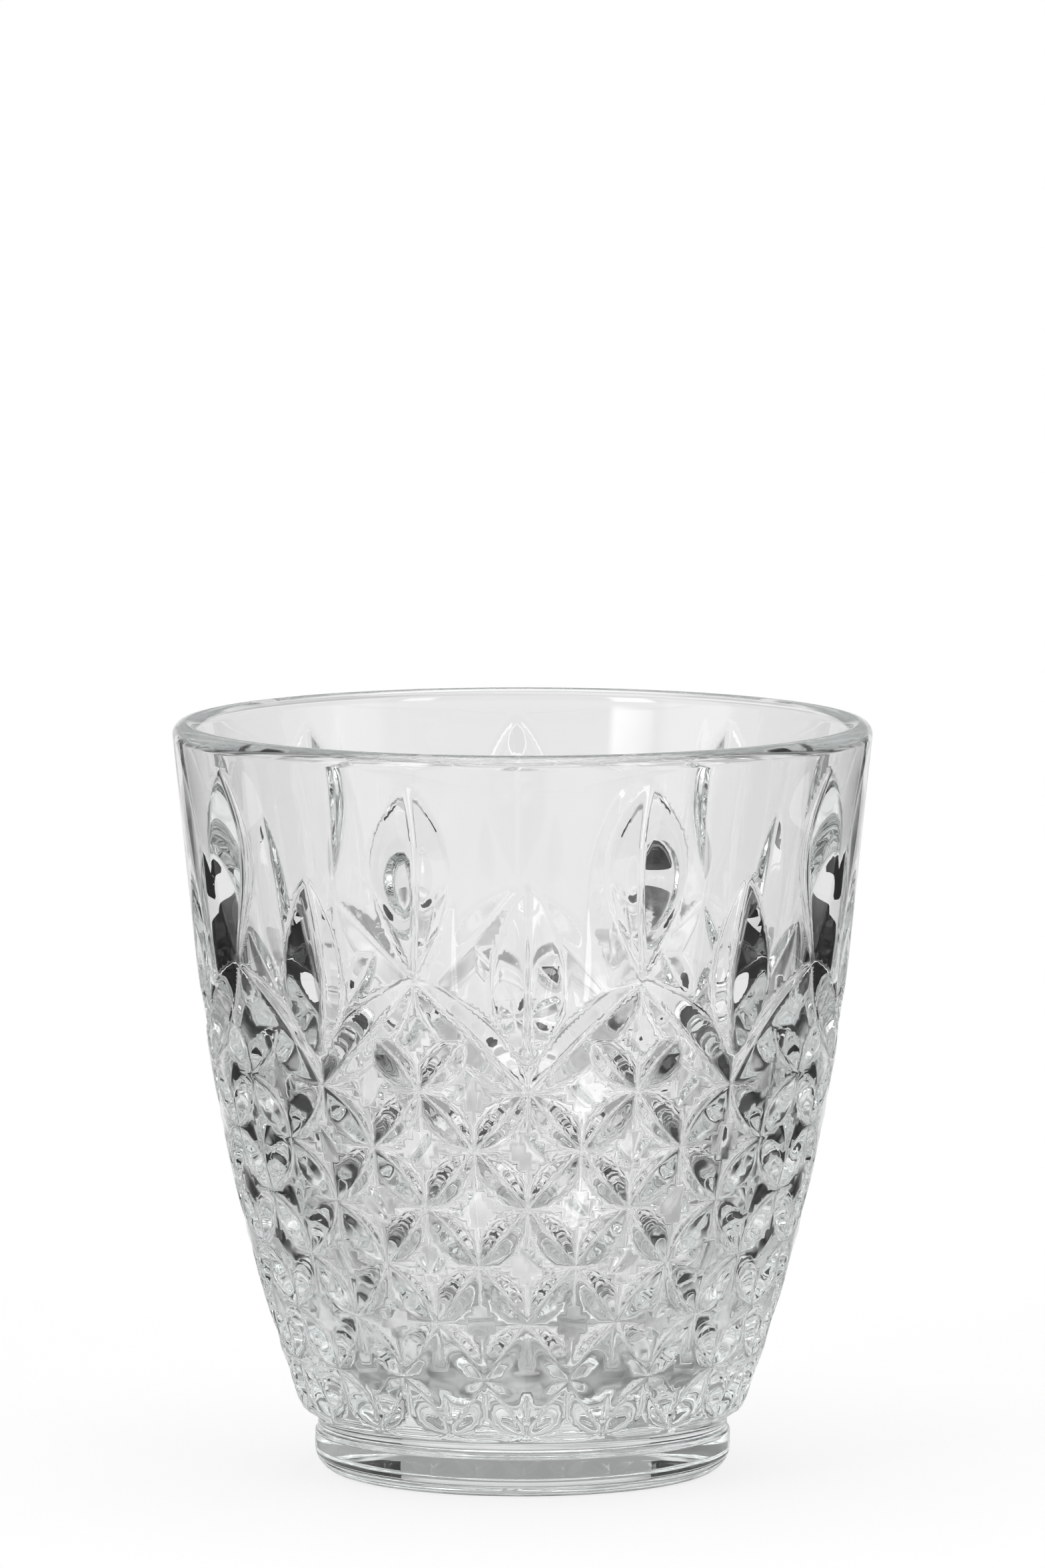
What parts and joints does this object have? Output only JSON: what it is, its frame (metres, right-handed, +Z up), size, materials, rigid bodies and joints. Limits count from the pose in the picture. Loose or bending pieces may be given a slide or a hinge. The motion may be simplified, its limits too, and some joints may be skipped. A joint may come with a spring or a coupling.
{
  "type": "whiskey tumbler",
  "caption": "Stemless drinking glass of clear pressed glass, with lens-shaped cuts, a diamond lattice, a round foot and a thick base.",
  "frame": {"origin": "centre of the foot, on the plane that the tumbler stands on", "axes": "+Z up along the tumbler's own axis, out of its mouth; -Y points at the middle of a short leaf"},
  "size_m": [0.0834, 0.0834, 0.09],
  "materials": {
    "clear_glass": "polished, clear and nearly colourless"
  },
  "bodies": {
    "root": {"tumbler": "clear_glass"}
  },
  "joints": []
}
